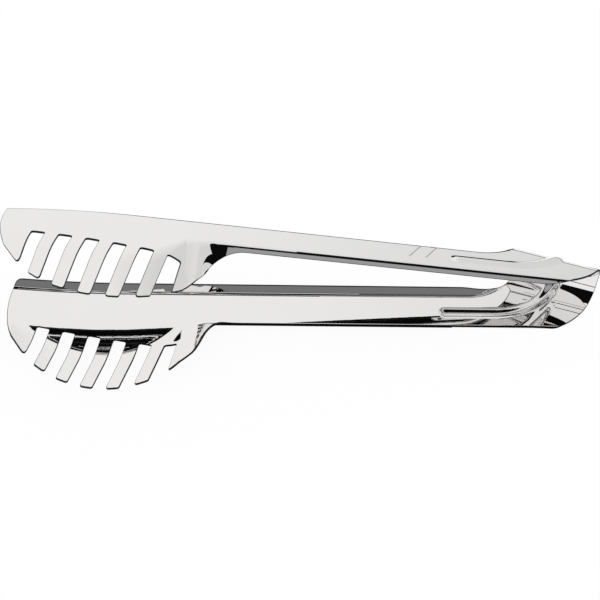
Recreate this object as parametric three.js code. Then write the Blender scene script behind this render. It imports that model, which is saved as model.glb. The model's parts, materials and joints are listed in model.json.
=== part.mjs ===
import * as THREE from "three";

// Pasta tongs pressed from one strip of polished steel, in millimetres.
// The tongs lie on the web of the lower arm, z up, with x along the lower handle towards the bow
// and the teeth on the side of -y. Each arm is drawn as a flat blank, x along the near bend of the
// handle from where the handle meets the head, y across it, and is then formed: edges turned in,
// comb curved, bead raised, and the strip folded over into the bow that springs the arms apart.

// Sheet
const sheetThickness = 0.8;
const zoneGap = 0.3;
const facetError = 0.12;
const longestEdge = 24.5;
const probeSpacing = 1.5;
const probeStep = 0.01;
const weldGrid = 0.0005;

// Handle, a channel with both edges turned towards the other arm
const webWidth = 12.77;
const edgeBendRadius = 0.95;
const nearEdgeDepth = 1.97;
const farEdgeDepth = 3.45;
const edgeTurn = THREE.MathUtils.degToRad(61.87);

// Turn of the strip from the handle into the bow
const nearTurnStart = 104.07;
const nearTurnRadius = 29.21;
const farTurnStart = 83.36;
const farTurnRadius = 20.74;
const farFadeBefore = 2.47;
const farFadeAfter = 23.13;
const turnSteps = 10;

// Bow, folded on an axis that lies across the strip's turn
const foldAlong = 148.98;
const foldAngle = THREE.MathUtils.degToRad(18.306);
const bowRadius = 9.36;
const armOpening = THREE.MathUtils.degToRad(21.426);

// Bead along the end of the handle and over the bow
const beadStart = 74.8;
const beadAcross = 5.6;
const beadHalfWidth = 2.65;
const beadHeight = 1.1;
const beadTurnStart = 93.28;
const beadTurnRadius = 27.4;
const beadSteps = 24;

// Head, a round comb on the near side of the arm, with its features placed from the head's end
const headLength = 83.74;
const endRadius = 39.97;
const endCentreAcross = 4.68;
const endCornerRadius = 4.5;
const combCentreFromEnd = 37.51;
const combCentreAcross = 1.23;
const combRadius = 35.73;
const slotCount = 6;
const slotPitch = 9.13;
const slotWidth = 4.54;
const slotCornerRadius = 0.9;
const firstSlotFromEnd = 13.57;
const firstSlotDepth = 4.02;
const slotRootSlope = 0.171;
const firstSlotLean = THREE.MathUtils.degToRad(9.41);
const slotLeanStep = THREE.MathUtils.degToRad(0.628);
const toothCornerRadius = 1.1;
const endToothLength = 20.46;
const endToothTipRadius = 1.3;
const throatToothLean = THREE.MathUtils.degToRad(8.94);
const throatTipRadius = 0.8;
const throatRadius = 13.76;
const throatLand = 1.2;

// Comb's curve towards the other head, and the gentle curl of the head's end
const combBendRadius = 23.52;
const combBendAngle = THREE.MathUtils.degToRad(18.93);
const combBendDepth = 12.97;
const combBendFromEnd = 37.25;
const combBendEndRadius = 46.86;
const combBendThroatRadius = 25.1;
const throatBlendFromEnd = 57.9;
const throatBlendLength = 18.2;
const edgeRiseFromEnd = 66.74;
const edgeRiseLength = 11.4;
const curlFromEnd = 43.06;
const curlRadius = 368.1;

const combCentreAlong = headLength - combCentreFromEnd;
const firstSlotAlong = headLength - firstSlotFromEnd;
const combBendAlong = headLength - combBendFromEnd;
const throatBlendStart = headLength - throatBlendFromEnd;
const throatBlendEnd = throatBlendStart - throatBlendLength;
const edgeRiseStart = headLength - edgeRiseFromEnd;
const edgeRiseEnd = edgeRiseStart - edgeRiseLength;
const curlStart = headLength - curlFromEnd;

const foldSin = Math.sin(foldAngle);
const foldCos = Math.cos(foldAngle);
const foldStart = foldAlong * foldSin;
const quarterTurn = Math.PI / 2;
const bowHalfLength = bowRadius * (quarterTurn - armOpening / 2);
const edgeBendLength = edgeBendRadius * edgeTurn;

// Developed width of an edge that is turned in until it stands the given depth below the web.
function developedWidth(depth) {
  const straight = (depth - edgeBendRadius * (1 - Math.cos(edgeTurn))) / Math.sin(edgeTurn);
  return edgeBendLength + straight;
}
const nearEdgeWidth = developedWidth(nearEdgeDepth);
const farEdgeWidth = developedWidth(farEdgeDepth);

const smooth = (from, to, value) => {
  const share = THREE.MathUtils.clamp((value - from) / (to - from), 0, 1);
  return share * share * (3 - 2 * share);
};

// Reach and drop of a sheet that leaves the plane on a radius, through an angle, and runs straight on.
function bend(distance, radius, angle) {
  const turned = Math.min(distance / radius, angle);
  const straight = Math.max(distance - radius * angle, 0);
  return [
    radius * Math.sin(turned) + straight * Math.cos(turned),
    radius * (1 - Math.cos(turned)) + straight * Math.sin(turned),
  ];
}

// Distance across the fold, 0 where the bow starts, and place along the fold's axis.
const across = (x, y) => x * foldSin + y * foldCos - foldStart;
const along = (x, y) => x * foldCos - y * foldSin;
const fromFold = (a, g) => new THREE.Vector2(
  a * foldCos + (g + foldStart) * foldSin,
  (g + foldStart) * foldCos - a * foldSin,
);

// The strip's edges and its bead turn until they run square to the fold.
const turnAngle = quarterTurn - foldAngle;
const farTurnLength = farTurnRadius * turnAngle;

// Point of a turn: it leaves the handle at a start, and its angle runs up to the turn's.
function turnPoint(start, y, radius, angle) {
  return new THREE.Vector2(start + radius * Math.sin(angle), y + radius * (1 - Math.cos(angle)));
}
// The far bend: along the handle, round its turn, then square to the fold. It takes a distance along
// it and one outward.
function farLine(s, out) {
  if (s <= farTurnStart) return new THREE.Vector2(s, webWidth + out);
  const angle = Math.min((s - farTurnStart) / farTurnRadius, turnAngle);
  const beyond = Math.max(s - farTurnStart - farTurnLength, 0);
  const point = turnPoint(farTurnStart, webWidth + out, farTurnRadius - out, angle);
  return point.add(new THREE.Vector2(beyond * foldSin, beyond * foldCos));
}
// Distance along the far bend and outward from it, for a point of the blank.
function farPlace(x, y) {
  if (x <= farTurnStart) return [x, y - webWidth];
  const dx = x - farTurnStart;
  const dy = webWidth + farTurnRadius - y;
  const beyond = dx * foldSin - dy * foldCos;
  if (beyond > 0) {
    return [farTurnStart + farTurnLength + beyond, farTurnRadius - dx * foldCos - dy * foldSin];
  }
  const angle = Math.atan2(dx, dy);
  return [farTurnStart + angle * farTurnRadius, farTurnRadius - Math.hypot(dx, dy)];
}
// The far edge narrows to nothing round the turn.
const farFadeStart = farTurnStart - farFadeBefore;
const farFadeEnd = farTurnStart + farFadeAfter;
const farWidthAt = (s) => farEdgeWidth * (1 - smooth(farFadeStart, farFadeEnd, s));
// Where it has narrowed to a share of its width.
function farFadeAt(share) {
  const turned = 0.5 - Math.sin(Math.asin(share + share - 1) / 3);
  return THREE.MathUtils.lerp(farFadeStart, farFadeEnd, turned);
}

// The bead's centre line in the blank: straight, round a turn, then square to the fold.
const beadPath = [new THREE.Vector2(beadStart, beadAcross)];
for (let i = 0; i <= beadSteps; i += 1) {
  beadPath.push(turnPoint(beadTurnStart, beadAcross, beadTurnRadius, turnAngle * i / beadSteps));
}
beadPath.push(beadPath[beadSteps + 1].clone().add(fromFold(0, bowRadius)).sub(fromFold(0, 0)));
function beadRise(x, y) {
  let nearest = Infinity;
  for (let i = 0; i + 1 < beadPath.length; i += 1) {
    const a = beadPath[i];
    const b = beadPath[i + 1];
    const dx = b.x - a.x;
    const dy = b.y - a.y;
    const t = THREE.MathUtils.clamp(((x - a.x) * dx + (y - a.y) * dy) / (dx * dx + dy * dy), 0, 1);
    nearest = Math.min(nearest, Math.hypot(x - a.x - t * dx, y - a.y - t * dy));
  }
  if (nearest >= beadHalfWidth) return 0;
  return beadHeight * (1 + Math.cos(Math.PI * nearest / beadHalfWidth)) / 2;
}

// Where the comb starts to curve in: an arc across the head that runs into the handle's near bend.
function combLine(x) {
  const dx = x + combBendAlong;
  const radius = dx < 0 ? combBendEndRadius : combBendThroatRadius;
  return Math.min(dx * dx / (radius + radius) - combBendDepth, 0);
}

// Middle of the formed sheet for a point of the blank: along the fold's axis, across it, and
// outward from the bow's centre.
function middle(x, y) {
  let px = x;
  let py = y;
  let out = 0;
  const [s, outside] = farPlace(x, y);
  if (outside > 0) {
    const [reach, drop] = bend(outside, edgeBendRadius, edgeTurn);
    const place = farLine(s, reach);
    px = place.x;
    py = place.y;
    out -= drop;
  }
  // At the throat the comb's gentle bend tightens into the near edge's, and the edge turns further in
  const tight = smooth(-throatBlendStart, -throatBlendEnd, x);
  const turnedIn = smooth(-edgeRiseStart, -edgeRiseEnd, x);
  const line = x < -throatBlendEnd ? combLine(x) : 0;
  if (y < line) {
    const radius = combBendRadius * (edgeBendRadius / combBendRadius) ** tight;
    const angle = THREE.MathUtils.lerp(combBendAngle, edgeTurn, turnedIn);
    const [reach, drop] = bend(line - y, radius, angle);
    py = line - reach;
    out -= drop;
  }
  out += beadRise(x, y);
  if (x < -curlStart) {
    const angle = (-curlStart - px) / curlRadius;
    px = -curlStart - (curlRadius + out) * Math.sin(angle);
    out -= (curlRadius + out) * (1 - Math.cos(angle));
  }
  const g = across(px, py);
  const a = along(px, py);
  if (g <= 0) return new THREE.Vector3(a, g, bowRadius + out);
  const turned = g / bowRadius;
  return new THREE.Vector3(a, (bowRadius + out) * Math.sin(turned), (bowRadius + out) * Math.cos(turned));
}

// Point of the sheet at a height above its middle.
function formed(x, y, height) {
  const centre = middle(x, y);
  const ahead = middle(x + probeStep, y).sub(middle(x - probeStep, y));
  const aside = middle(x, y + probeStep).sub(middle(x, y - probeStep));
  return centre.addScaledVector(ahead.cross(aside).normalize(), height);
}

// Keeps the part of an outline where a linear measure is positive.
function clip(points, measure) {
  const kept = [];
  points.forEach((p, i) => {
    const q = points[(i + 1) % points.length];
    const mp = measure(p);
    const mq = measure(q);
    if (mp >= 0) kept.push(p);
    if ((mp > 0 && mq < 0) || (mp < 0 && mq > 0)) kept.push(p.clone().lerp(q, mp / (mp - mq)));
  });
  return kept;
}

// Corner of an outline rounded to a radius.
function rounded(before, corner, after, radius, steps = 4) {
  const a = before.clone().sub(corner);
  const b = after.clone().sub(corner);
  const half = Math.acos(THREE.MathUtils.clamp(a.dot(b) / (a.length() * b.length()), -1, 1)) / 2;
  const cut = Math.min(radius / Math.tan(half), a.length() / 2, b.length() / 2);
  const start = corner.clone().addScaledVector(a.normalize(), cut);
  const end = corner.clone().addScaledVector(b.normalize(), cut);
  return new THREE.QuadraticBezierCurve(start, corner.clone(), end).getPoints(steps);
}

// Turns flat outlines that share their borders into one closed formed solid.
function pressed(outlines, place) {
  const points = [];
  const index = new Map();
  const id = (p) => {
    const key = `${Math.round(p.x / weldGrid)},${Math.round(p.y / weldGrid)}`;
    if (!index.has(key)) {
      index.set(key, points.length);
      points.push(p.clone());
    }
    return index.get(key);
  };
  let triangles = [];
  outlines.forEach((outline) => {
    const ids = outline.map(id).filter((v, i, all) => v !== all[(i + 1) % all.length]);
    if (ids.length < 3) return;
    const loop = ids.map((v) => points[v]);
    const clockwise = THREE.ShapeUtils.isClockWise(loop);
    THREE.ShapeUtils.triangulateShape(clockwise ? loop.slice().reverse() : loop, []).forEach((t) => {
      const ring = clockwise ? ids.slice().reverse() : ids;
      triangles.push(t.map((v) => ring[v]));
    });
  });
  // Edges are halved until the formed sheet strays less than the facet error from them.
  const mids = points.map((p) => place(p.x, p.y, 0));
  for (let pass = 0; pass < 14; pass += 1) {
    const splits = new Map();
    const keyOf = (a, b) => (a < b ? `${a},${b}` : `${b},${a}`);
    triangles.forEach((t) => t.forEach((a, i) => {
      const b = t[(i + 1) % 3];
      const key = keyOf(a, b);
      if (splits.has(key)) return;
      const pa = points[a];
      const pb = points[b];
      const length = pa.distanceTo(pb);
      let far = length > longestEdge;
      const probes = Math.ceil(length / probeSpacing) + 1;
      for (let k = 1; !far && k < probes && length > facetError; k += 1) {
        const share = k / probes;
        const flat = pa.clone().lerp(pb, share);
        const chord = mids[a].clone().lerp(mids[b], share);
        far = chord.distanceTo(place(flat.x, flat.y, 0)) > facetError;
      }
      splits.set(key, far ? id(pa.clone().lerp(pb, 0.5)) : -1);
      if (far && mids.length < points.length) {
        const p = points[points.length - 1];
        mids.push(place(p.x, p.y, 0));
      }
    }));
    if (![...splits.values()].some((v) => v >= 0)) break;
    const next = [];
    triangles.forEach((t) => {
      const m = t.map((a, i) => splits.get(keyOf(a, t[(i + 1) % 3])));
      const cut = m.filter((v) => v >= 0).length;
      if (cut === 0) next.push(t);
      if (cut === 3) next.push([t[0], m[0], m[2]], [m[0], t[1], m[1]], [m[2], m[1], t[2]], m);
      if (cut === 1) {
        const i = m.findIndex((v) => v >= 0);
        const [a, b, c] = [t[i], t[(i + 1) % 3], t[(i + 2) % 3]];
        next.push([a, m[i], c], [m[i], b, c]);
      }
      if (cut === 2) {
        const i = m.findIndex((v) => v < 0);
        const [a, b, c] = [t[i], t[(i + 1) % 3], t[(i + 2) % 3]];
        const mb = m[(i + 1) % 3];
        const mc = m[(i + 2) % 3];
        next.push([a, b, mb], [a, mb, mc], [mc, mb, c]);
      }
    });
    triangles = next;
  }
  // Both faces and the cut edge between them.
  const position = [];
  const half = sheetThickness / 2;
  points.forEach((p) => position.push(...place(p.x, p.y, half).toArray()));
  points.forEach((p) => position.push(...place(p.x, p.y, -half).toArray()));
  const count = points.length;
  const faces = [];
  const edges = new Set(triangles.flatMap((t) => t.map((a, i) => `${a},${t[(i + 1) % 3]}`)));
  triangles.forEach(([a, b, c]) => {
    faces.push(a, b, c, a + count, c + count, b + count);
    [[a, b], [b, c], [c, a]].forEach(([p, q]) => {
      if (edges.has(`${q},${p}`)) return;
      faces.push(q, p, p + count, q, p + count, q + count);
    });
  });
  const geometry = new THREE.BufferGeometry();
  geometry.setAttribute("position", new THREE.Float32BufferAttribute(position, 3));
  geometry.setIndex(faces);
  return geometry;
}

// Throat: the round of the comb runs into a fillet that ends on the handle's near edge.
const combCentre = new THREE.Vector2(-combCentreAlong, combCentreAcross);
const throatReach = combRadius + throatRadius;
const throatDrop = combCentreAcross + nearEdgeWidth + throatRadius;
const throatCentre = combCentre.clone().add(
  new THREE.Vector2(Math.sqrt(throatReach * throatReach - throatDrop * throatDrop), -throatDrop));
const headEnd = throatCentre.x + throatLand;
const roundPoint = (centre, radius, angle) => centre.clone().add(
  new THREE.Vector2(radius * Math.cos(angle), radius * Math.sin(angle)));

const halfGap = zoneGap / 2;
const handleStart = headEnd + halfGap;

// Outlines of the blank from the head's end to the middle of the bow, by zones between the bends.
function handleOutlines(keep) {
  const inBow = (p) => bowHalfLength - across(p.x, p.y);
  const nearTurn = [];
  for (let i = 0; i <= turnSteps; i += 1) {
    nearTurn.push(turnPoint(nearTurnStart, -nearEdgeWidth, nearTurnRadius, turnAngle * i / turnSteps));
  }
  const last = nearTurn[turnSteps];
  nearTurn.push(fromFold(along(last.x, last.y), bowHalfLength + bowHalfLength));
  // Stations along the far bend, with the two places where the edge narrows to its bend and to nothing
  const bendOnly = farFadeAt(edgeBendLength / farEdgeWidth);
  const turnEnd = farTurnStart + farTurnLength;
  const stations = [handleStart, farFadeStart, farTurnStart, bendOnly, farFadeEnd, turnEnd,
    turnEnd + bowHalfLength + bowHalfLength];
  for (let i = 1; i < turnSteps; i += 1) stations.push(farTurnStart + farTurnLength * i / turnSteps);
  stations.sort((a, b) => a - b);
  const start = new THREE.Vector2(handleStart, -nearEdgeWidth);
  const whole = [start, ...nearTurn, ...stations.map((s) => farLine(s, 0)).reverse()];
  // Far edge between two distances out from the bend, as far as it is that wide
  const strip = (inner, outer, end) => {
    const used = stations.filter((s) => s <= end);
    return [
      ...used.map((s) => farLine(s, inner)),
      ...used.slice(0, -1).map((s) => farLine(s, Math.min(outer, farWidthAt(s)))).reverse(),
    ];
  };
  return [
    clip(whole, (p) => p.y),
    clip(clip(whole, (p) => -p.y), (p) => p.y + edgeBendLength),
    clip(whole, (p) => -edgeBendLength - p.y),
    strip(0, edgeBendLength, farFadeEnd),
    strip(edgeBendLength, farEdgeWidth, bendOnly),
  ].map((o) => clip(clip(o, keep), inBow)).filter((o) => o.length > 2);
}

// Slot's root and the direction in which it runs out.
function slotAt(i) {
  const lean = firstSlotLean + slotLeanStep * i;
  return {
    root: new THREE.Vector2(-firstSlotAlong + slotPitch * i, -firstSlotDepth - slotRootSlope * slotPitch * i),
    way: new THREE.Vector2(-Math.sin(lean), -Math.cos(lean)),
    side: new THREE.Vector2(Math.cos(lean), -Math.sin(lean)),
  };
}
// Where a slot's side leaves the round of the comb.
function combExit(start, way) {
  const d = start.clone().sub(combCentre);
  const half = d.dot(way);
  const run = Math.sqrt(half * half - d.lengthSq() + combRadius * combRadius) - half;
  return start.clone().addScaledVector(way, run);
}

function headOutlines() {
  const endCentre = new THREE.Vector2(endRadius - headLength, endCentreAcross);
  const endPoint = (y) => new THREE.Vector2(
    endCentre.x - Math.sqrt(endRadius * endRadius - (y - endCentre.y) * (y - endCentre.y)),
    y,
  );
  const right = headEnd - halfGap;
  // Comb, from the end tooth to the throat
  const slots = [...Array(slotCount).keys()].map(slotAt);
  const comb = [];
  const endTip = endPoint(-endToothLength);
  slots.forEach((slot, i) => {
    const left = slot.root.clone().addScaledVector(slot.side, -slotWidth / 2);
    const rightSide = slot.root.clone().addScaledVector(slot.side, slotWidth / 2);
    const outLeft = i === 0 ? left.clone().addScaledVector(slot.way, endToothLength - firstSlotDepth)
      : combExit(left, slot.way);
    let outRight = combExit(rightSide, slot.way);
    if (i === slotCount - 1) {
      const way = new THREE.Vector2(-Math.sin(throatToothLean), -Math.cos(throatToothLean));
      outRight = combExit(rightSide, way);
    }
    if (i === 0) {
      const corner = endTip.clone().lerp(outLeft, 0.5);
      comb.push(...rounded(endPoint(-endToothLength / 2), corner, left, endToothTipRadius));
    } else {
      const previous = slots[i - 1];
      const leftRoot = previous.root.clone().addScaledVector(previous.side, slotWidth / 2);
      const toothLeft = combExit(leftRoot, previous.way);
      comb.push(...rounded(previous.root, toothLeft, outLeft, toothCornerRadius));
      comb.push(...rounded(toothLeft, outLeft, left, toothCornerRadius));
    }
    comb.push(...rounded(outLeft, left, rightSide, slotCornerRadius));
    comb.push(...rounded(left, rightSide, outRight, slotCornerRadius));
    if (i === slotCount - 1) {
      const first = outRight.clone().sub(combCentre).angle();
      const last = throatCentre.clone().sub(combCentre).angle();
      const sweep = [];
      for (let k = 1; k <= turnSteps; k += 1) {
        sweep.push(roundPoint(combCentre, combRadius, THREE.MathUtils.lerp(first, last, k / turnSteps)));
      }
      for (let k = 1; k <= turnSteps; k += 1) {
        const angle = THREE.MathUtils.lerp(last - Math.PI, quarterTurn, k / turnSteps);
        sweep.push(roundPoint(throatCentre, throatRadius, angle));
      }
      comb.push(...rounded(rightSide, outRight, sweep[0], throatTipRadius), ...sweep);
    }
  });
  comb.push(new THREE.Vector2(right, -nearEdgeWidth));
  // End of the head, from the far edge round to the end tooth
  const top = webWidth + farEdgeWidth;
  const corner = endPoint(top);
  const cornerCurve = rounded(
    new THREE.Vector2(right, top), corner, endPoint(top - endCornerRadius), endCornerRadius, turnSteps);
  const end = [];
  const cornerEnd = cornerCurve[cornerCurve.length - 1].y;
  for (let i = 1; i < turnSteps; i += 1) {
    end.push(endPoint(THREE.MathUtils.lerp(cornerEnd, -endToothLength / 2, i / turnSteps)));
  }
  const whole = [...comb, new THREE.Vector2(right, 0), new THREE.Vector2(right, webWidth),
    new THREE.Vector2(right, top), ...cornerCurve, ...end];
  const far = (p) => p.y - webWidth;
  return [
    clip(whole, (p) => -far(p)),
    clip(clip(whole, far), (p) => edgeBendLength - far(p)),
    clip(whole, (p) => far(p) - edgeBendLength),
  ];
}

// Steel, one finish for the whole strip
function steel(shade) {
  return new THREE.MeshStandardMaterial({ color: shade, metalness: 1, roughness: 0.08 });
}
function mesh(name, geometry, shade) {
  const piece = new THREE.Mesh(geometry, steel(shade));
  piece.name = name;
  return piece;
}

const arm = (p) => -halfGap - across(p.x, p.y);
const bow = (p) => across(p.x, p.y) - halfGap;

// Upper arm as formed; the lower arm is its mirror image.
const upright = (x, y, height) => formed(x, y, height);
function flipped(geometry) {
  const copy = geometry.clone();
  copy.scale(1, 1, -1);
  const order = copy.getIndex();
  for (let i = 0; i < order.count; i += 3) {
    const first = order.getX(i);
    order.setX(i, order.getX(i + 1));
    order.setX(i + 1, first);
  }
  return copy;
}
const headForm = pressed(headOutlines(), upright);
const handleForm = pressed(handleOutlines(arm), upright);

// The bow's blank is two mirrored halves, seen from inside the bow and folded in one sweep from the
// lower arm to the upper arm.
const whole = bowHalfLength + bowHalfLength;
const unfold = (p) => new THREE.Vector2(along(p.x, p.y), across(p.x, p.y));
const bowHalf = handleOutlines(bow).map((o) => o.map(unfold));
const bowBlank = [
  ...bowHalf,
  ...bowHalf.map((o) => o.map((p) => new THREE.Vector2(p.x, whole - p.y))),
];
function folded(a, g, height) {
  const mirrored = g > bowHalfLength;
  const flat = fromFold(a, mirrored ? whole - g : g);
  const point = formed(flat.x, flat.y, -height);
  if (mirrored) {
    const side = point.y * Math.cos(armOpening) + point.z * Math.sin(armOpening);
    const rise = point.z * Math.cos(armOpening) - point.y * Math.sin(armOpening);
    return new THREE.Vector3(point.x, side, rise);
  }
  return new THREE.Vector3(point.x, point.y, -point.z);
}
const bowForm = pressed(bowBlank, folded);

const foldFrame = new THREE.Group();
foldFrame.rotation.z = -foldAngle;
foldFrame.add(
  mesh("lower_head", flipped(headForm), 0xd8d8d6),
  mesh("lower_handle", flipped(handleForm), 0xdadad8),
  mesh("spring_bow", bowForm, 0xd6d6d4),
);
const upperArm = new THREE.Group();
upperArm.rotation.x = -armOpening;
upperArm.add(
  mesh("upper_handle", handleForm, 0xdadad8),
  mesh("upper_head", headForm, 0xd8d8d6),
);
foldFrame.add(upperArm);

// The origin is under the middle of the tongs, on the surface they lie on.
const tongs = new THREE.Group();
tongs.add(foldFrame);
tongs.updateMatrixWorld(true);
const box = new THREE.Box3().setFromObject(tongs, true);
const centre = box.getCenter(new THREE.Vector3());
foldFrame.position.set(-centre.x, -centre.y, -box.min.z);
tongs.updateMatrixWorld(true);

export default tongs;
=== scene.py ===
import json
import math

import bmesh
import bpy
import numpy as np
from mathutils import Matrix, Vector
from mathutils.geometry import delaunay_2d_cdt


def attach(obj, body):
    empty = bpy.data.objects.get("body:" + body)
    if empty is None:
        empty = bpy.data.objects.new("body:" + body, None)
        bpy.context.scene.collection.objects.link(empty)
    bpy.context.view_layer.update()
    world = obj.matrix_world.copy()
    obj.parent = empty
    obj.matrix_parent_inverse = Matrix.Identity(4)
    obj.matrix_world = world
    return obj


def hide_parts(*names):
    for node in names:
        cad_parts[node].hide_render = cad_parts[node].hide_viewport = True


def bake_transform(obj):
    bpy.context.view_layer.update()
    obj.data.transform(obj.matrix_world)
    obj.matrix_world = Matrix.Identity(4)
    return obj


# Pasta tongs pressed from one polished strip. The strip's blank is laid out flat, with close points
# where it bends, and is then formed, with rounded rims, into two arms and the bow between them.
# Sizes of the strip are in millimetres, and those of the studio in metres.

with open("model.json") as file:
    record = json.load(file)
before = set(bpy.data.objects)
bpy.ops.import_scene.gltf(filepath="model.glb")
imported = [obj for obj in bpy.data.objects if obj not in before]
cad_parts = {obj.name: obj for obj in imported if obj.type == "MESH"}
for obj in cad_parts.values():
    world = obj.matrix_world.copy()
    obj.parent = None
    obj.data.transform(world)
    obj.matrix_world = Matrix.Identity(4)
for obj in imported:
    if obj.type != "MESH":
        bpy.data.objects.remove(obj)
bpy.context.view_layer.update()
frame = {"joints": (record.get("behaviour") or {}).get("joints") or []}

MM = 0.001
SHEET = 0.8
EDGE_ROUND = 0.2

# Handle, a channel with both edges turned towards the other arm
WEB_WIDTH = 12.26
NEAR_BEND_RADIUS = 1.35
FAR_BEND_RADIUS = 1.8
NEAR_EDGE_DEPTH = 1.95
FAR_EDGE_DEPTH = 3.45
EDGE_TURN = math.radians(61.87)

# Turn from the handle into the bow
NEAR_TURN_START = 104.07
NEAR_TURN_RADIUS = 29.21
FAR_TURN_START = 83.36
FAR_TURN_RADIUS = 21.25
FAR_FADE_START = FAR_TURN_START - 2.47
FAR_FADE_END = FAR_TURN_START + 23.13

# Bow, folded on an axis that lies across the strip's turn
FOLD_ALONG = 148.98
FOLD_ANGLE = math.radians(18.306)
BOW_RADIUS = 9.36
ARM_OPENING = math.radians(21.426)

# Bead along the end of the handle and over the bow
BEAD_START = 74.8
BEAD_ACROSS = 5.6
BEAD_HALF_WIDTH = 2.65
BEAD_HEIGHT = 0.95
BEAD_TURN_START = 93.28
BEAD_TURN_RADIUS = 27.4

# Two slanted marks pressed into the upper arm, by their ends on the blank
MARKS = np.array([[(57.4, 4.7), (62.3, 12.6)], [(63.3, 4.9), (68.2, 12.8)]])
MARK_HALF_WIDTH = 0.4
MARK_DEPTH = 0.2

# Head, a round comb on the near side of the arm
HEAD_LENGTH = 83.74
END_RADIUS = 39.97
END_CENTRE_ACROSS = 4.68
END_CORNER_RADIUS = 4.5
COMB_CENTRE = np.array([-46.23, 1.23])
COMB_RADIUS = 35.73
SLOT_COUNT = 6
SLOT_PITCH = 9.13
SLOT_WIDTH = 4.54
SLOT_CORNER_RADIUS = 0.9
FIRST_SLOT_ALONG = 70.17
FIRST_SLOT_DEPTH = 4.02
SLOT_ROOT_SLOPE = 0.171
FIRST_SLOT_LEAN = math.radians(9.41)
SLOT_LEAN_STEP = math.radians(0.628)
TOOTH_CORNER_RADIUS = 1.1
END_TOOTH_LENGTH = 20.46
END_TOOTH_TIP_RADIUS = 1.3
THROAT_TOOTH_LEAN = math.radians(8.94)
THROAT_TIP_RADIUS = 0.8
THROAT_RADIUS = 13.76

# Comb's curve and the curl of the head's end
COMB_BEND_RADIUS = 23.52
COMB_BEND_ANGLE = math.radians(18.93)
COMB_BEND_DEPTH = 12.97
COMB_BEND_ALONG = 46.49
COMB_BEND_END_RADIUS = 46.86
COMB_BEND_THROAT_RADIUS = 25.1
THROAT_BLEND_START = 25.84
THROAT_BLEND_END = 7.64
EDGE_RISE_START = 17.0
EDGE_RISE_END = 5.6
CURL_START = 40.68
CURL_RADIUS = 368.1

# Points on the blank: how far they reach, how far apart they stand, and the margins between zones
BLANK_LEFT, BLANK_RIGHT, BLANK_NEAR, BLANK_FAR = -90, 150, -36, 50
OUTLINE_STEP = 0.6
STRAIGHT_STEP = 2
SEAM_STEP = 0.45
CORNER_STEPS = 7
END_CORNER_STEPS = 14
END_STEPS = 50
THROAT_TIP_STEPS = 3
RIM_STEPS = 4
FLAT_STEP = 1.1
BEAD_STEP = 0.45
BEAD_FIELD_LEFT, BEAD_FIELD_NEAR = BEAD_START - 6, -4
NECK_STEP = 0.4
NECK_LEFT, NECK_RIGHT, NECK_NEAR, NECK_FAR = -THROAT_BLEND_START - 2, 1 - EDGE_RISE_END, -16, 0.6
BEND_STEP = 1.5
BEND_ROWS = 10
NEAR_ROWS_START, NEAR_ROWS_END = 1.2 - EDGE_RISE_END, 135
FAR_ROWS_END = 120
MARK_STEP = 0.15
MARK_FIELD_SIDE, MARK_FIELD_NEAR, MARK_FIELD_FAR = 1, 4, 14
BEAD_MARGIN = 0.8
BEND_MARGIN = 0.5
BEND_GAP = 0.3
SEAM_MARGIN = 0.2
MARK_MARGIN = 0.2
RIM_MARGIN = 0.22
SLOPE_STEP = 0.01
SAME_PLACE = 1e-6
CROSSING_LIMIT = 1e-7

QUARTER = math.pi / 2
FOLD_SIN, FOLD_COS = math.sin(FOLD_ANGLE), math.cos(FOLD_ANGLE)
FOLD_START = FOLD_ALONG * FOLD_SIN
BOW_HALF = BOW_RADIUS * (QUARTER - ARM_OPENING / 2)
TURN_ANGLE = QUARTER - FOLD_ANGLE
FAR_TURN_LENGTH = FAR_TURN_RADIUS * TURN_ANGLE
NEAR_BEND_LENGTH = NEAR_BEND_RADIUS * EDGE_TURN
FAR_BEND_LENGTH = FAR_BEND_RADIUS * EDGE_TURN


def developed_width(depth, radius):
    """Width on the blank of an edge that is this deep once it is bent."""
    drop = depth - radius * (1 - math.cos(EDGE_TURN))
    return radius * EDGE_TURN + drop / math.sin(EDGE_TURN)


NEAR_WIDTH = developed_width(NEAR_EDGE_DEPTH, NEAR_BEND_RADIUS)
FAR_WIDTH = developed_width(FAR_EDGE_DEPTH, FAR_BEND_RADIUS)


def smooth(start, end, value):
    """Eased from 0 at the start to 1 at the end."""
    t = np.clip((value - start) / (end - start), 0, 1)
    return t * t * (3 - 2 * t)


def bend(distance, radius, angle):
    """Reach and drop of a point that lies this far into a bend and the flat behind it."""
    turned = np.minimum(distance / radius, angle)
    straight = np.maximum(distance - radius * angle, 0)
    reach = radius * np.sin(turned) + straight * np.cos(turned)
    drop = radius * (1 - np.cos(turned)) + straight * np.sin(turned)
    return reach, drop


def across(x, y):
    """Distance past the fold's start, square to its axis."""
    return x * FOLD_SIN + y * FOLD_COS - FOLD_START


def along(x, y):
    """Place along the fold's axis."""
    return x * FOLD_COS - y * FOLD_SIN


def from_fold(a, g):
    """Point of the blank at a place along the fold and a distance past its start."""
    g = g + FOLD_START
    return np.array([a * FOLD_COS + g * FOLD_SIN, g * FOLD_COS - a * FOLD_SIN])


def near_turn(angle):
    """Point of the near edge on its turn into the bow."""
    x = NEAR_TURN_START + NEAR_TURN_RADIUS * math.sin(angle)
    return np.array([x, NEAR_TURN_RADIUS * (1 - math.cos(angle)) - NEAR_WIDTH])


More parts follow.
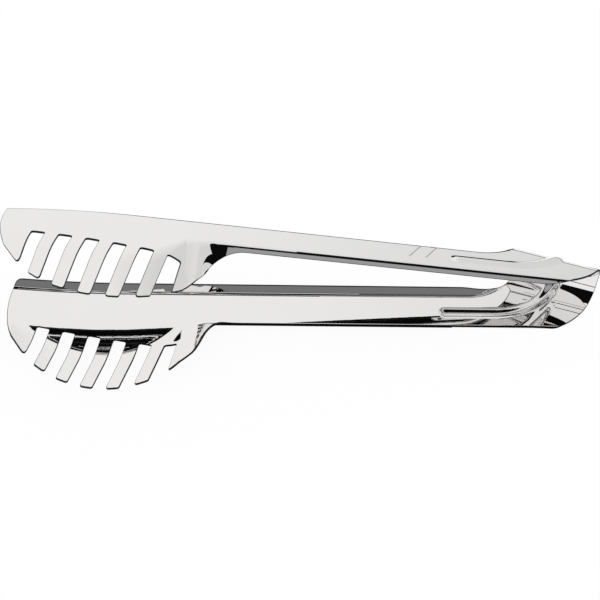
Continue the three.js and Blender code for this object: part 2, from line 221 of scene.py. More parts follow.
def far_line(s, out):
    """Point of the blank at a length along the far bend and a distance outside it."""
    s = np.asarray(s, float)
    angle = np.clip((s - FAR_TURN_START) / FAR_TURN_RADIUS, 0, TURN_ANGLE)
    radius = FAR_TURN_RADIUS - out
    beyond = np.maximum(s - FAR_TURN_START - FAR_TURN_LENGTH, 0)
    straight = s <= FAR_TURN_START
    x = np.where(straight, s, FAR_TURN_START + radius * np.sin(angle)) + beyond * FOLD_SIN
    y = np.where(straight, WEB_WIDTH + out, WEB_WIDTH + FAR_TURN_RADIUS - radius * np.cos(angle))
    return x, y + beyond * FOLD_COS


def far_place(x, y):
    """Length along the far bend and distance outside it of a point of the blank."""
    dx = x - FAR_TURN_START
    dy = WEB_WIDTH + FAR_TURN_RADIUS - y
    angle = np.arctan2(dx, dy)
    straight = x <= FAR_TURN_START
    s = np.where(straight, x, FAR_TURN_START + angle * FAR_TURN_RADIUS)
    out = np.where(straight, y - WEB_WIDTH, FAR_TURN_RADIUS - np.hypot(dx, dy))
    beyond = dx * FOLD_SIN - dy * FOLD_COS
    past = ~straight & (beyond > 0)
    s = np.where(past, FAR_TURN_START + FAR_TURN_LENGTH + beyond, s)
    return s, np.where(past, FAR_TURN_RADIUS - dx * FOLD_COS - dy * FOLD_SIN, out)


def far_width_at(s):
    """Width of the far edge, which fades out along the turn."""
    return FAR_WIDTH * (1 - smooth(FAR_FADE_START, FAR_FADE_END, s))


def far_edge(s):
    """Point of the far edge at a length along the far bend."""
    return np.array(far_line(s, far_width_at(s)))


def bead_distance(x, y):
    """Distance from the bead's line: a straight, a turn, and a straight square to the fold."""
    dx, dy = x - BEAD_TURN_START, BEAD_ACROSS + BEAD_TURN_RADIUS - y
    angle = np.arctan2(dx, dy)
    turn = np.abs(np.hypot(dx, dy) - BEAD_TURN_RADIUS)
    start = np.hypot(np.minimum(x - BEAD_START, 0), y - BEAD_ACROSS)
    end = np.abs(dx * FOLD_COS + dy * FOLD_SIN - BEAD_TURN_RADIUS)
    return np.where(x <= BEAD_TURN_START, start, np.where(angle < TURN_ANGLE, turn, end))


def mark_distance(x, y):
    """Distance from the nearest of the marks' lines."""
    nearest = np.full(np.shape(x), np.inf)
    for start, end in MARKS:
        way = end - start
        dx, dy = x - start[0], y - start[1]
        t = np.clip((dx * way[0] + dy * way[1]) / (way @ way), 0, 1)
        nearest = np.minimum(nearest, np.hypot(dx - t * way[0], dy - t * way[1]))
    return nearest


def ridge(distance, half_width, height):
    """Height of a rounded ridge at a distance from its line."""
    share = np.minimum(distance / half_width, 1)
    return height * (1 + np.cos(math.pi * share)) / 2


def comb_line(x):
    """Where the comb starts to bend: a curve, tighter on the throat's side of its deepest point."""
    dx = x + COMB_BEND_ALONG
    radius = np.where(dx < 0, COMB_BEND_END_RADIUS, COMB_BEND_THROAT_RADIUS)
    return np.minimum(dx * dx / (2 * radius) - COMB_BEND_DEPTH, 0)


def middle(x, y, marked=False):
    """Middle of the formed sheet: along the fold's axis, across it, and out from it."""
    s, outside = far_place(x, y)
    reach, drop = bend(np.maximum(outside, 0), FAR_BEND_RADIUS, EDGE_TURN)
    fx, fy = far_line(s, reach)
    px = np.where(outside > 0, fx, x)
    py = np.where(outside > 0, fy, y)
    out = np.where(outside > 0, -drop, 0.0)
    edge = np.where(x < -THROAT_BLEND_END, comb_line(x), 0)
    tight = smooth(-THROAT_BLEND_START, -THROAT_BLEND_END, x)
    radius = COMB_BEND_RADIUS * (NEAR_BEND_RADIUS / COMB_BEND_RADIUS) ** tight
    rise = smooth(-EDGE_RISE_START, -EDGE_RISE_END, x)
    angle = COMB_BEND_ANGLE + (EDGE_TURN - COMB_BEND_ANGLE) * rise
    reach, drop = bend(np.maximum(edge - y, 0), radius, angle)
    py = np.where(y < edge, edge - reach, py)
    out = np.where(y < edge, out - drop, out)
    out = out + ridge(bead_distance(x, y), BEAD_HALF_WIDTH, BEAD_HEIGHT)
    if marked:
        out = out - ridge(mark_distance(x, y), MARK_HALF_WIDTH, MARK_DEPTH)
    angle = np.maximum(-CURL_START - px, 0) / CURL_RADIUS
    curled = px < -CURL_START
    px = np.where(curled, -CURL_START - (CURL_RADIUS + out) * np.sin(angle), px)
    out = np.where(curled, out - (CURL_RADIUS + out) * (1 - np.cos(angle)), out)
    g = across(px, py)
    turned = np.maximum(g, 0) / BOW_RADIUS
    out = BOW_RADIUS + out
    g = np.where(g <= 0, g, out * np.sin(turned))
    return np.stack([along(px, py), g, out * np.cos(turned)], -1)


def frames(points, marked=False):
    """Middle, normal and the two surface directions at points of the blank."""
    x, y = points[:, 0], points[:, 1]
    step = SLOPE_STEP
    dx = (middle(x + step, y, marked) - middle(x - step, y, marked)) / (2 * step)
    dy = (middle(x, y + step, marked) - middle(x, y - step, marked)) / (2 * step)
    normal = np.cross(dx, dy)
    normal /= np.linalg.norm(normal, axis=1)[:, None]
    return middle(x, y, marked), normal, dx, dy


# Outline of the blank, from the middle of the bow along the far edge, round the head, and back

def arc(centre, radius, first, last, step):
    """Points round a centre from one angle to another."""
    count = max(2, int(abs(last - first) * radius / step) + 1)
    t = np.linspace(first, last, count)
    return np.stack([centre[0] + radius * np.cos(t), centre[1] + radius * np.sin(t)], 1)


def spread(low, high, gap):
    """Even steps from low to high, none wider than the gap."""
    return np.linspace(low, high, int((high - low) / gap) + 2)


def line(a, b, step):
    """Points from one place to another, about a step apart."""
    a, b = np.asarray(a, float), np.asarray(b, float)
    count = max(1, int(np.linalg.norm(b - a) / step + 0.5))
    return a + (b - a) * np.linspace(0, 1, count + 1)[:, None]


def rounded(before, corner, after, radius, steps=CORNER_STEPS):
    """A rounded corner between the middles of its two sides at most."""
    a, b = before - corner, after - corner
    la, lb = np.linalg.norm(a), np.linalg.norm(b)
    half = math.acos(np.clip(a @ b / (la * lb), -1, 1)) / 2
    cut = min(radius / math.tan(half), la / 2, lb / 2)
    start, end = corner + a / la * cut, corner + b / lb * cut
    t = np.linspace(0, 1, steps)[:, None]
    return start * (1 - t) ** 2 + corner * (2 * t * (1 - t)) + end * t * t


def slot_at(i):
    """Middle of a slot's root, the way to its mouth, and the way across it."""
    lean = FIRST_SLOT_LEAN + SLOT_LEAN_STEP * i
    step = SLOT_PITCH * i
    root = np.array([step - FIRST_SLOT_ALONG, -FIRST_SLOT_DEPTH - SLOT_ROOT_SLOPE * step])
    way = np.array([-math.sin(lean), -math.cos(lean)])
    return root, way, np.array([-way[1], way[0]])


def comb_exit(start, way):
    """Where a slot's side meets the comb's round outline."""
    d = start - COMB_CENTRE
    half = d @ way
    return start + way * (math.sqrt(half * half - d @ d + COMB_RADIUS**2) - half)


def end_point(y):
    """Point of the head's round end."""
    x = END_RADIUS - HEAD_LENGTH - math.sqrt(END_RADIUS**2 - (y - END_CENTRE_ACROSS) ** 2)
    return np.array([x, y])


def comb_outline(step):
    """From the end tooth's tip round the slots to the handle's near edge."""
    slots = [slot_at(i) for i in range(SLOT_COUNT)]
    parts = []
    tip = end_point(-END_TOOTH_LENGTH)
    for i, (root, way, side) in enumerate(slots):
        left, right = root - side * SLOT_WIDTH / 2, root + side * SLOT_WIDTH / 2
        if i == 0:
            out_left = (tip + left + way * (END_TOOTH_LENGTH - FIRST_SLOT_DEPTH)) / 2
            before = end_point(-END_TOOTH_LENGTH / 2)
            parts.append(rounded(before, out_left, left, END_TOOTH_TIP_RADIUS))
        else:
            out_left = comb_exit(left, way)
            parts.append(rounded(before, previous, out_left, TOOTH_CORNER_RADIUS))
            parts.append(rounded(previous, out_left, left, TOOTH_CORNER_RADIUS))
        if i == SLOT_COUNT - 1:
            way = np.array([-math.sin(THROAT_TOOTH_LEAN), -math.cos(THROAT_TOOTH_LEAN)])
        out_right = comb_exit(right, way)
        parts.append(rounded(out_left, left, right, SLOT_CORNER_RADIUS))
        parts.append(rounded(left, right, out_right, SLOT_CORNER_RADIUS))
        before, previous = right, out_right
    drop = COMB_CENTRE[1] + NEAR_WIDTH + THROAT_RADIUS
    reach = COMB_RADIUS + THROAT_RADIUS
    throat = COMB_CENTRE + np.array([math.sqrt(reach * reach - drop * drop), -drop])
    first = math.atan2(*(previous - COMB_CENTRE)[::-1])
    last = math.atan2(*(throat - COMB_CENTRE)[::-1])
    sweep = arc(COMB_CENTRE, COMB_RADIUS, first, last, step)
    parts.append(rounded(before, previous, sweep[THROAT_TIP_STEPS + 1], THROAT_TIP_RADIUS))
    parts.append(sweep[THROAT_TIP_STEPS:])
    parts.append(arc(throat, THROAT_RADIUS, last + math.pi, QUARTER, step)[1:])
    dense = [parts[0]]
    for part in parts[1:]:
        if np.linalg.norm(part[0] - dense[-1][-1]) > SAME_PLACE:
            dense.append(line(dense[-1][-1], part[0], step * 2)[1:])
        dense.append(part[1:])
    return np.vstack(dense), throat[0]


def root_of(function, low, high, halvings=60):
    for _ in range(halvings):
        mid = (low + high) / 2
        low, high = (mid, high) if function(mid) < 0 else (low, mid)
    return (low + high) / 2


def half_outline(step=OUTLINE_STEP):
    """The outline of half the strip, counter-clockwise, and where it crosses the fold's start."""
    seam_s = root_of(lambda s: across(*far_edge(s)), FAR_TURN_START, FAR_FADE_END)
    apex_s = root_of(lambda s: across(*far_edge(s)) - BOW_HALF, FAR_TURN_START, 2 * FAR_FADE_END)
    bow_far = [far_edge(s) for s in spread(seam_s, apex_s, step)[::-1]]
    arm_far = [far_edge(s) for s in spread(FAR_FADE_START, seam_s, step)[::-1][1:]]
    far_y = WEB_WIDTH + FAR_WIDTH
    fade_start = np.array([FAR_FADE_START, far_y])
    end_corner = rounded(
        fade_start, end_point(far_y), end_point(far_y - END_CORNER_RADIUS),
        END_CORNER_RADIUS, END_CORNER_STEPS)
    far_straight = line(fade_start, end_corner[0], STRAIGHT_STEP)[1:]
    end_rows = np.linspace(end_corner[-1][1], -END_TOOTH_LENGTH / 2, END_STEPS)[1:]
    end = [end_point(y) for y in end_rows]
    comb, throat_x = comb_outline(step)
    end_side = line(end[-1], comb[0], step)[1:]
    near_straight = line([throat_x, -NEAR_WIDTH], near_turn(0), STRAIGHT_STEP)[1:]
    seam_angle = root_of(lambda angle: across(*near_turn(angle)), 0, TURN_ANGLE)
    angle_step = step / NEAR_TURN_RADIUS
    arm_near = [near_turn(angle) for angle in spread(0, seam_angle, angle_step)[1:]]
    bow_near = [near_turn(angle) for angle in spread(seam_angle, TURN_ANGLE, angle_step)[1:]]
    apex = from_fold(along(*bow_near[-1]), BOW_HALF)
    bow_near += list(line(bow_near[-1], apex, step)[1:])
    arm = [*arm_far, *far_straight, *end_corner[1:], *end, *end_side, *comb[1:], *near_straight]
    outline = np.array([*bow_far, *arm, *arm_near, *bow_near])
    return outline, len(bow_far) - 1, len(outline) - 1 - len(bow_near)


# Along the outline: the way out of the blank, and the way in, which lies along the fold's axis
# where an arm meets the bow
outline, far_seam, near_seam = half_outline()
edge_way = np.gradient(outline, axis=0)
edge_way /= np.linalg.norm(edge_way, axis=1)[:, None]
fold_way = np.array([FOLD_SIN, FOLD_COS])
edge_way[0], edge_way[-1] = -fold_way, fold_way
outward = np.stack([edge_way[:, 1], -edge_way[:, 0]], 1)
inset = -outward.copy()
axis_way = np.array([FOLD_COS, -FOLD_SIN])
for i in (far_seam, near_seam):
    inset[i] = axis_way / (axis_way @ inset[i])


def inside(points, loop):
    """Which points a closed loop holds."""
    hit = np.zeros(len(points), bool)
    for p, q in zip(loop, np.roll(loop, -1, 0)):
        if p[1] == q[1]:
            continue
        crosses = (p[1] > points[:, 1]) != (q[1] > points[:, 1])
        x = p[0] + (points[:, 1] - p[1]) * (q[0] - p[0]) / (q[1] - p[1])
        hit ^= crosses & (points[:, 0] < x)
    return hit


def grid(left, right, near, far, step):
    """Points in rows over an oblong of the blank."""
    x, y = np.meshgrid(np.arange(left, right, step), np.arange(near, far, step))
    return np.stack([x.ravel(), y.ravel()], 1)


def inner_points():
    """Points of the blank, close together where the sheet bends."""
    flat = grid(BLANK_LEFT, BLANK_RIGHT, BLANK_NEAR, BLANK_FAR, FLAT_STEP)
    x, y = flat.T
    out = far_place(x, y)[1]
    on_bead = bead_distance(x, y) < BEAD_HALF_WIDTH + BEAD_MARGIN
    in_neck = (x > NECK_LEFT) & (x < NECK_RIGHT) & (y < NECK_FAR)
    in_near = (x > -EDGE_RISE_END) & (y > -NEAR_BEND_LENGTH - BEND_MARGIN) & (y < BEND_MARGIN)
    in_far = (out > -BEND_MARGIN) & (out < FAR_BEND_LENGTH + BEND_MARGIN)
    flat = flat[~(on_bead | in_neck | in_near | in_far)]
    bead = grid(BEAD_FIELD_LEFT, BLANK_RIGHT, BEAD_FIELD_NEAR, BLANK_FAR, BEAD_STEP)
    x, y = bead.T
    on_bead = bead_distance(x, y) < BEAD_HALF_WIDTH + BEAD_MARGIN
    bead = bead[on_bead & (far_place(x, y)[1] < -BEND_GAP) & (y > BEND_GAP)]
    neck = grid(NECK_LEFT, NECK_RIGHT, NECK_NEAR, NECK_FAR, NECK_STEP)
    rows = np.linspace(0, 1, BEND_ROWS)
    stations = np.arange(NEAR_ROWS_START, NEAR_ROWS_END, BEND_STEP)
    near = np.stack(np.meshgrid(stations, -NEAR_BEND_LENGTH * rows), -1).reshape(-1, 2)
    stations = np.arange(BLANK_LEFT, FAR_ROWS_END, BEND_STEP)
    lengths, reach = np.meshgrid(stations, FAR_BEND_LENGTH * rows)
    far = np.stack(far_line(lengths.ravel(), reach.ravel()), 1)
    return np.vstack([flat, bead, neck, near, far])


def triangulated(loop, points):
    """Triangles over a loop and the points inside it; the loop's points come first."""
    points = points[inside(points, loop)]
    far_off = np.ones(len(points), bool)
    for p in loop:
        far_off &= np.hypot(points[:, 0] - p[0], points[:, 1] - p[1]) > RIM_MARGIN
    points = points[far_off]
    flat = np.vstack([loop, points])
    verts, _, faces, originals, _, _ = delaunay_2d_cdt(
        [Vector(p) for p in flat], [], [list(range(len(loop)))], 1, CROSSING_LIMIT)
    if len(verts) != len(flat):
        odd = [tuple(v) for v, o in zip(verts, originals) if len(o) != 1]
        raise RuntimeError(f"the outline crosses itself at {odd}")
    order = [o[0] for o in originals]
    return flat, [[order[v] for v in f] for f in faces]


def sheet_mesh(loop, chains, seams, points, marked=False):
    """A closed sheet over a loop of (blank point, outline index). Chains of the loop get a rounded
    rim and seams a flat end; the marks are on the outer face only. Returns places, normals, faces,
    which faces are cut edges, and each vertex's point of the blank."""
    flat, triangles = triangulated(np.array([p for p, _ in loop]), points)
    outer, outer_normal, _, _ = frames(flat, marked)
    inner, inner_normal, _, _ = frames(flat)
    half, count = SHEET / 2, len(flat)
    places = [outer + outer_normal * half, inner - inner_normal * half]
    normals, blanks = [outer_normal, -inner_normal], [flat, flat]
    faces = [*triangles, *([v + count for v in t] for t in triangles)]
    surface = len(faces)
    total = 2 * count
    for chain in chains:
        ids = np.array(chain)
        source = np.array([loop[i][1] for i in ids])
        rows = [ids]
        quarter = range(1, RIM_STEPS + 1)
        for side, k in [*((1, k) for k in quarter), *((-1, k) for k in reversed(quarter))]:
            phi = QUARTER * k / RIM_STEPS
            blank = outline[source] + inset[source] * EDGE_ROUND * (1 - math.sin(phi))
            mid, normal, dx, dy = frames(blank)
            out = dx * outward[source, :1] + dy * outward[source, 1:]
            out -= normal * np.sum(out * normal, 1)[:, None]
            out /= np.linalg.norm(out, axis=1)[:, None]
            places.append(mid + normal * side * (half - EDGE_ROUND * (1 - math.cos(phi))))
            normals.append(normal * side * math.cos(phi) + out * math.sin(phi))
            blanks.append(blank)
            rows.append(np.arange(total, total + len(ids)))
            total += len(ids)
        rows = np.array([*rows, ids + count])
        for row, below in zip(rows[:-1], rows[1:]):
            faces += np.stack([row[:-1], row[1:], below[1:], below[:-1]], 1).tolist()
        for end in (0, -1):
            if not np.isclose(across(*blanks[0][rows[0, end]]), BOW_HALF):
                faces.append(rows[:, end].tolist())
    for seam in seams:
        row = np.array(seam)
        faces += np.stack([row[:-1], row[1:], row[1:] + count, row[:-1] + count], 1).tolist()
    # The cut edges take the second material, which is painted near-black as a painted dark
    # reflection
    cut = [0] * surface + [1] * (len(faces) - surface)
    return np.vstack(places), np.vstack(normals), faces, cut, np.vstack(blanks)


# Finish of the steel and of its cut edges: colours, gloss, and noise in repeats per metre. The cut
# edges' near-black colours are painted reflection, standing in for the dark that the edges mirror
STEEL_DARKER, STEEL_PALER = (0.795, 0.785, 0.780), (0.835, 0.828, 0.825)
CUT_PAINTED_DARKER, CUT_PAINTED_PALER = (0.008, 0.009, 0.010), (0.035, 0.037, 0.040)
STEEL_ROUGHNESS = 0.0, 0.012
CUT_ROUGHNESS = 0.4
NOISE_RANGE = 0.3, 0.7
GLOSS_NOISE, GLOSS_DETAIL = 90, 4
TONE_NOISE = 14
GRAIN_NOISE, GRAIN_STRETCH = 2600, (0.12, 1, 1)
GRAIN_STRENGTH, GRAIN_DEPTH = 0.002, 0.0002
CUT_NOISE = 700


def shaded(name):
    """A new material with its nodes, its links and its main shader."""
    material = bpy.data.materials.new(name)
    material.use_nodes = True
    nodes = material.node_tree.nodes
    return material, nodes, material.node_tree.links, nodes["Principled BSDF"]


def noise(nodes, links, scale, detail=2, stretch=(1, 1, 1)):
    """A value that varies over the piece."""
    mapping = nodes.new("ShaderNodeMapping")
    mapping.inputs["Scale"].default_value = stretch
    links.new(nodes.new("ShaderNodeTexCoord").outputs["Object"], mapping.inputs["Vector"])
    texture = nodes.new("ShaderNodeTexNoise")
    texture.inputs["Scale"].default_value = scale
    texture.inputs["Detail"].default_value = detail
    links.new(mapping.outputs["Vector"], texture.inputs["Vector"])
    return texture.outputs["Fac"]


def ranged(nodes, links, value, before, after):
    """A value moved from one range to another."""
    node = nodes.new("ShaderNodeMapRange")
    for name, end in zip(("From Min", "From Max", "To Min", "To Max"), (*before, *after)):
        node.inputs[name].default_value = end
    links.new(value, node.inputs["Value"])
    return node.outputs["Result"]


def mottled(nodes, links, shader, scale, darker, paler):
    """Give the shader a colour that wanders between two."""
    colour = nodes.new("ShaderNodeMix")
    colour.data_type = "RGBA"
    colour.inputs["A"].default_value = (*darker, 1)
    colour.inputs["B"].default_value = (*paler, 1)
    links.new(noise(nodes, links, scale), colour.inputs["Factor"])
    links.new(colour.outputs["Result"], shader.inputs["Base Color"])


def steel_material():
    """Mirror-polished steel: a very fine unevenness and faint, uneven gloss."""
    material, nodes, links, shader = shaded("polished_steel")
    shader.inputs["Metallic"].default_value = 1
    gloss = noise(nodes, links, GLOSS_NOISE, GLOSS_DETAIL)
    links.new(ranged(nodes, links, gloss, NOISE_RANGE, STEEL_ROUGHNESS), shader.inputs["Roughness"])
    mottled(nodes, links, shader, TONE_NOISE, STEEL_DARKER, STEEL_PALER)
    bump = nodes.new("ShaderNodeBump")
    bump.inputs["Strength"].default_value = GRAIN_STRENGTH
    bump.inputs["Distance"].default_value = GRAIN_DEPTH
    links.new(noise(nodes, links, GRAIN_NOISE, stretch=GRAIN_STRETCH), bump.inputs["Height"])
    links.new(bump.outputs["Normal"], shader.inputs["Normal"])
    return material


def painted_dark_edge_material():
    """Sheared edge of the strip: rougher than the faces, and darker, near-black as a painted dark
    reflection.
    """
    material, nodes, links, shader = shaded("sheared_edge_painted_dark")
    shader.inputs["Metallic"].default_value = 1
    shader.inputs["Roughness"].default_value = CUT_ROUGHNESS
    mottled(nodes, links, shader, CUT_NOISE, CUT_PAINTED_DARKER, CUT_PAINTED_PALER)
    return material


def mesh_piece(name, places, normals, faces, cut, materials):
    """A piece of the tongs from places in the bow's own directions, with given normals."""
    mesh = bpy.data.meshes.new(name)
    mesh.from_pydata((to_part(places) * MM).tolist(), [], faces)
    work = bmesh.new()
    work.from_mesh(mesh)
    bmesh.ops.recalc_face_normals(work, faces=work.faces[:])
    work.to_mesh(mesh)
    work.free()
    mesh.polygons.foreach_set("use_smooth", [True] * len(mesh.polygons))
    mesh.normals_split_custom_set_from_vertices(way_to_part(normals).tolist())
    for material in materials:
        mesh.materials.append(material)
    mesh.polygons.foreach_set("material_index", cut)
    piece = bpy.data.objects.new(name, mesh)
    bpy.context.collection.objects.link(piece)
    return piece


# Studio: what the polished steel mirrors. Its greys, and how much more blue than red they have
BLACK, BOW_SHADE, LOW_SHADE, FRONT_GREY = 0.004, 0.18, 0.20, 0.38
BLUE_SHARE = 1.03
# Panels round the x axis: first and last angle over the far horizon, ends along x, and grey
PANEL_DISTANCE = 2.0
PANEL_STEPS = 13
PANELS = [
    ("overhead_flag", 88, 129, -4.0, 4.0, BLACK),
    ("overhead_back_flag", 60, 88, -4.0, 0.12, BLACK),
    ("overhead_bow_flag", 70, 88, 0.45, 4.0, BLACK),
    ("side_flag", 25, 128, 2.3, 9.0, BLACK),
    ("overhead_front_flag", 129, 148, -0.60, 0.20, BLACK),
    ("front_flag", 129, 138, 0.20, 4.0, FRONT_GREY),
    ("front_low_flag", 138, 158, 0.20, 1.0, BLACK),
    ("front_side_flag", 138, 158, 1.0, 4.0, FRONT_GREY),
    ("low_front_flag", 158, 182, -0.35, 4.0, LOW_SHADE),
]
# Black cards close in front: distance, left, right, low, high
CARDS = [
    ("head_card", -0.30, -0.200, -0.100, 0.045, 0.115),
    ("handle_card", -0.30, -0.020, 0.200, 0.0405, 0.060),
]
# Patches of the floor that only the steel mirrors: under the arms, behind the handles, far behind
# them, and under the bow. The patches under the arms and under the bow are painted shadow, standing
# in for the shade that the tongs cast on the floor beneath them
PATCH_HEIGHT = -0.0002
PATCHES = [
    # Painted shadow: black where the floor under the arms lies in the tongs' shade
    ("painted_shadow_under_arms", BLACK, [
        (-0.112, -0.034), (0.052, -0.012), (0.056, 0.045), (-0.055, 0.045), (-0.055, 0.025),
        (-0.112, 0.025)]),
    ("back_flag", BLACK, [(-0.055, 0.0451), (0.080, 0.0451), (0.130, 0.200), (-0.100, 0.200)]),
    ("far_flag", BLACK, [(-0.40, 0.21), (0.45, 0.21), (1.40, 2.0), (-0.40, 2.0)]),
    ("bow_patch", BOW_SHADE, [(0.112, 0.000), (0.180, 0.000), (0.180, 0.140), (0.112, 0.045)]),
]
FLOOR_REACH = 12.0
FLOOR_HEIGHT = -0.0004
FLOOR_GLOW = 0.94
# The background that the steel mirrors darkens towards the right: over these directions, this much
FADE_ALONG, FADE = (0.05, 0.40), (1.0, 0.80)


def emitter(name, grey):
    """An evenly glowing surface."""
    material, nodes, links, _ = shaded(name)
    glow = nodes.new("ShaderNodeEmission")
    glow.inputs["Color"].default_value = (grey, grey, grey * BLUE_SHARE, 1)
    links.new(glow.outputs["Emission"], nodes["Material Output"].inputs["Surface"])
    return material


def staged(name, coords, material, faces=None, mirrored_only=True):
    """A surface of the studio, which has one face unless its faces are given."""
    mesh = bpy.data.meshes.new(name)
    mesh.from_pydata(coords, [], faces or [tuple(range(len(coords)))])
    mesh.materials.append(material)
    panel = bpy.data.objects.new(name, mesh)
    bpy.context.collection.objects.link(panel)
    if mirrored_only:
        panel.visible_camera = panel.visible_diffuse = panel.visible_shadow = False


def floor_paper():
    """White paper that glows by itself and keeps a faint share of the light that falls on it."""
    paper, nodes, links, shader = shaded("floor_paper")
    shader.inputs["Base Color"].default_value = (*[1 - FLOOR_GLOW] * 3, 1)
    shader.inputs["Roughness"].default_value = 1
    shader.inputs["Specular IOR Level"].default_value = 0
    ray = nodes.new("ShaderNodeLightPath")
    seen = ray.outputs["Is Camera Ray"]
    for kind in ("Is Glossy Ray", "Is Transmission Ray"):
        either = nodes.new("ShaderNodeMath")
        either.operation = "MAXIMUM"
        links.new(seen, either.inputs[0])
        links.new(ray.outputs[kind], either.inputs[1])
        seen = either.outputs["Value"]
    strength = nodes.new("ShaderNodeMath")
    strength.operation = "MULTIPLY"
    strength.inputs[1].default_value = FLOOR_GLOW
    links.new(seen, strength.inputs[0])
    shader.inputs["Emission Color"].default_value = (1, 1, 1, 1)
    links.new(strength.outputs["Value"], shader.inputs["Emission Strength"])
    return paper


def studio():
    """White background, pale floor, and the panels that the steel mirrors."""
    world = bpy.data.worlds.new("studio")
    bpy.context.scene.world = world
    world.use_nodes = True
    nodes, links = world.node_tree.nodes, world.node_tree.links
    split = nodes.new("ShaderNodeSeparateXYZ")
    links.new(nodes.new("ShaderNodeTexCoord").outputs["Generated"], split.inputs["Vector"])
    fade = ranged(nodes, links, split.outputs["X"], FADE_ALONG, FADE)
    mirrored = nodes.new("ShaderNodeMix")
    mirrored.inputs["A"].default_value = 1
    links.new(nodes.new("ShaderNodeLightPath").outputs["Is Glossy Ray"], mirrored.inputs["Factor"])
    links.new(fade, mirrored.inputs["B"])
    links.new(mirrored.outputs["Result"], nodes["Background"].inputs["Strength"])
    nodes["Background"].inputs["Color"].default_value = (1, 1, 1, 1)
    for name, first, last, left, right, grey in PANELS:
        angles = [math.radians(angle) for angle in np.linspace(first, last, PANEL_STEPS)]
        rim = [(PANEL_DISTANCE * math.cos(a), PANEL_DISTANCE * math.sin(a)) for a in angles]
        coords = [(x, y, z) for y, z in rim for x in (left, right)]
        faces = [(i, i + 1, i + 3, i + 2) for i in range(0, 2 * PANEL_STEPS - 2, 2)]
        staged(name, coords, emitter(name, grey), faces)
    for name, y, left, right, low, high in CARDS:
        card = [(left, y, low), (right, y, low), (right, y, high), (left, y, high)]
        staged(name, card, emitter(name, BLACK))
    for name, grey, corners in PATCHES:
        staged(name, [(x, y, PATCH_HEIGHT) for x, y in corners], emitter(name, grey))
    corners = [(-FLOOR_REACH, -FLOOR_REACH), (FLOOR_REACH, -FLOOR_REACH),
               (FLOOR_REACH, FLOOR_REACH), (-FLOOR_REACH, FLOOR_REACH)]
    floor = [(x, y, FLOOR_HEIGHT) for x, y in corners]
    staged("floor", floor, floor_paper(), mirrored_only=False)


hinge = np.array(frame["joints"][0]["pos_m"], float) / MM
MIRROR_WAY = np.array([0, math.sin(ARM_OPENING / 2), math.cos(ARM_OPENING / 2)])


def way_to_part(v):
    """Directions along the fold, across it and out from it, as the part's own."""
    a, g, z = v.T
    return np.stack([a * FOLD_COS + g * FOLD_SIN, g * FOLD_COS - a * FOLD_SIN, z], 1)


def to_part(v):
    """Places from the bow's centre, as the part's own."""
    return way_to_part(v) + hinge


def lower(v):
    """The lower arm: its outer face looks down."""
    return v * [1, 1, -1]


def upper(v):
    """The upper arm: the lower one mirrored about the bow's middle."""
    v = lower(v)
    return v - 2 * (v @ MIRROR_WAY)[:, None] * MIRROR_WAY


def placed(i):
    """A point of the outline, moved in by the rounding of the edge."""
    return outline[i] + inset[i] * EDGE_ROUND


def rim_chain(first, last):
    """A stretch of the outline that gets a rounded rim."""
    return [(placed(i), i) for i in range(first, last + 1)]


def cut_line(first, last):
    """A straight cut between two points of the outline, without its ends."""
    return [(p, None) for p in line(placed(first), placed(last), SEAM_STEP)[1:-1]]


steel = [steel_material(), painted_dark_edge_material()]
inner = inner_points()
seam_line = cut_line(far_seam, near_seam)
past_fold = across(*inner.T)

arm_chain = rim_chain(far_seam, near_seam)
arm_loop = [*arm_chain, *seam_line[::-1]]
count = len(arm_chain)
arm_seam = [*range(count - 1, len(arm_loop)), 0]
arm_points = inner[past_fold < -SEAM_MARGIN]
places, normals, faces, cut, _ = sheet_mesh(arm_loop, [range(count)], [arm_seam], arm_points)
lower_arm = mesh_piece("lower_arm_steel", lower(places), lower(normals), faces, cut, steel)

off_marks = mark_distance(*arm_points.T) > MARK_HALF_WIDTH + MARK_MARGIN
marks = grid(
    MARKS[:, :, 0].min() - MARK_FIELD_SIDE, MARKS[:, :, 0].max() + MARK_FIELD_SIDE,
    MARK_FIELD_NEAR, MARK_FIELD_FAR, MARK_STEP)
marks = marks[mark_distance(*marks.T) < MARK_HALF_WIDTH + MARK_STEP]
marked_points = np.vstack([arm_points[off_marks], marks])
places, normals, faces, cut, _ = sheet_mesh(
    arm_loop, [range(count)], [arm_seam], marked_points, marked=True)
upper_arm = mesh_piece("upper_arm_steel", upper(places), upper(normals), faces, cut, steel)

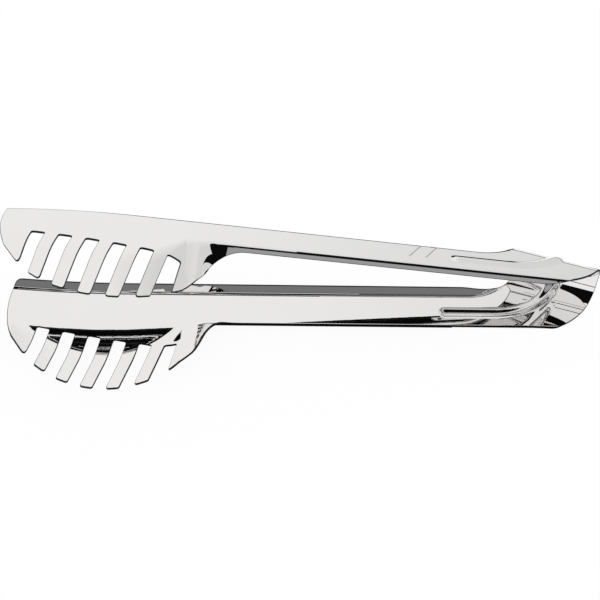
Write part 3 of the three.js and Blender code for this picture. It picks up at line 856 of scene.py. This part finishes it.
last = len(outline) - 1
far_chain, near_chain = rim_chain(0, far_seam), rim_chain(near_seam, last)
bow_loop = [*far_chain, *seam_line, *near_chain, *cut_line(last, 0)]
far_count = len(far_chain)
near_start = far_count + len(seam_line)
bow_seam = range(far_count - 1, near_start + 1)
bow_chains = [range(far_count), range(near_start, near_start + len(near_chain))]
bow_points = inner[(past_fold > SEAM_MARGIN) & (past_fold < BOW_HALF - SEAM_MARGIN)]
places, normals, faces, cut, blanks = sheet_mesh(bow_loop, bow_chains, [bow_seam], bow_points)
# Both halves of the bow share the vertices on its middle
shared = np.isclose(across(*blanks.T), BOW_HALF, atol=SAME_PLACE)
other = np.arange(len(places))
other[~shared] = len(places) + np.arange(np.count_nonzero(~shared))
bow_faces = faces + [[int(other[v]) for v in f] for f in faces]
bow = mesh_piece(
    "spring_bow_steel", np.vstack([lower(places), upper(places)[~shared]]),
    np.vstack([lower(normals), upper(normals)[~shared]]), bow_faces, cut + cut, steel)

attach(lower_arm, "lower_arm")
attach(upper_arm, "upper_arm")
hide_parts("lower_head", "lower_handle")
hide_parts("upper_head", "upper_handle")
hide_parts("spring_bow")
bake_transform(bow)

# Camera: its place from the bow's centre, the picture's own directions, and the focal length and
# width of the picture, both in pixels
CAMERA_PLACE = np.array([-12.26, -322.41, 346.70])
CAMERA_RIGHT = np.array([0.99907, -0.01773, 0.03943])
CAMERA_DOWN = np.array([0.01110, -0.77666, -0.62985])
CAMERA_FOCUS = 1248.62
PICTURE = 600
SENSOR_WIDTH = 36
CLEAR_DISTANCE = 0.01
camera = bpy.data.cameras.new("camera")
camera.sensor_width = SENSOR_WIDTH
camera.lens = SENSOR_WIDTH * CAMERA_FOCUS / PICTURE
camera.clip_start = CLEAR_DISTANCE
viewer = bpy.data.objects.new("camera", camera)
ahead = np.cross(CAMERA_RIGHT, CAMERA_DOWN)
turn = Matrix(np.stack([CAMERA_RIGHT, -CAMERA_DOWN, -ahead], 1).tolist()).to_4x4()
viewer.matrix_world = Matrix.Translation(Vector((CAMERA_PLACE + hinge) * MM)) @ turn
bpy.context.collection.objects.link(viewer)
bpy.context.scene.camera = viewer

studio()
bpy.context.scene.view_settings.view_transform = "Standard"
